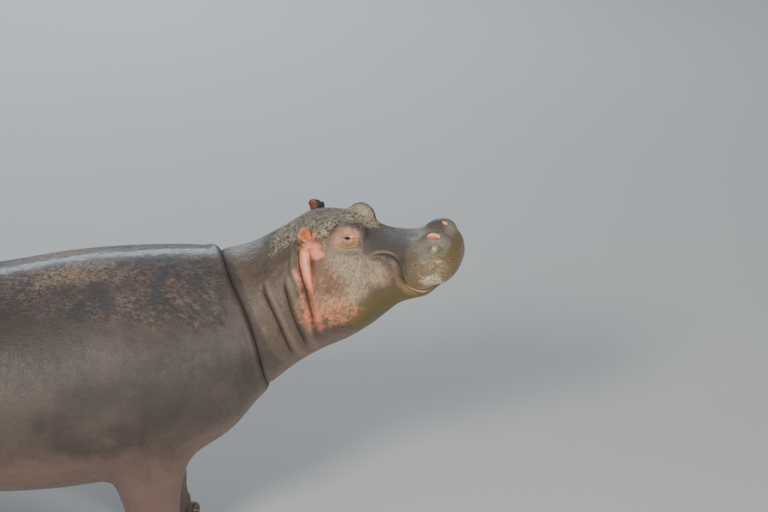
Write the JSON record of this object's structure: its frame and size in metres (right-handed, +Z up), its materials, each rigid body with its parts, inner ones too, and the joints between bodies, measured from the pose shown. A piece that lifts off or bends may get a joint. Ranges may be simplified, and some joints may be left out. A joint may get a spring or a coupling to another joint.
{
  "type": "hippopotamus",
  "caption": "Life-size still model of a standing hippopotamus, bare grey-brown hide, pink round the eyes and ears, its head raised level with its back and turned a little to its right.",
  "frame": {"origin": "on the floor, under the middle of the animal's bounding box", "axes": "+X the way the trunk faces, +Y the animal's left, +Z up"},
  "size_m": [2.9704, 1.0324, 1.5019],
  "materials": {
    "hide": "bare, finely wrinkled grey-brown hide",
    "ear": "thin pinkish hide",
    "eye": "wet, dark brown",
    "nail": "dull dark horn"
  },
  "bodies": {
    "root": {"trunk": "hide", "neck": "hide", "head": "hide", "lower_jaw": "hide", "tail": "hide", "leg_front_right": "hide", "leg_front_left": "hide", "leg_hind_right": "hide", "leg_hind_left": "hide", "foot_front_right": "hide", "foot_front_left": "hide", "foot_hind_right": "hide", "foot_hind_left": "hide", "ear_right": "ear", "ear_left": "ear", "eye_right": "eye", "eye_left": "eye", "nail_front_right_1": "nail", "nail_front_right_2": "nail", "nail_front_right_3": "nail", "nail_front_right_4": "nail", "nail_front_left_1": "nail", "nail_front_left_2": "nail", "nail_front_left_3": "nail", "nail_front_left_4": "nail", "nail_hind_right_1": "nail", "nail_hind_right_2": "nail", "nail_hind_right_3": "nail", "nail_hind_right_4": "nail", "nail_hind_left_1": "nail", "nail_hind_left_2": "nail", "nail_hind_left_3": "nail", "nail_hind_left_4": "nail"}
  },
  "joints": []
}
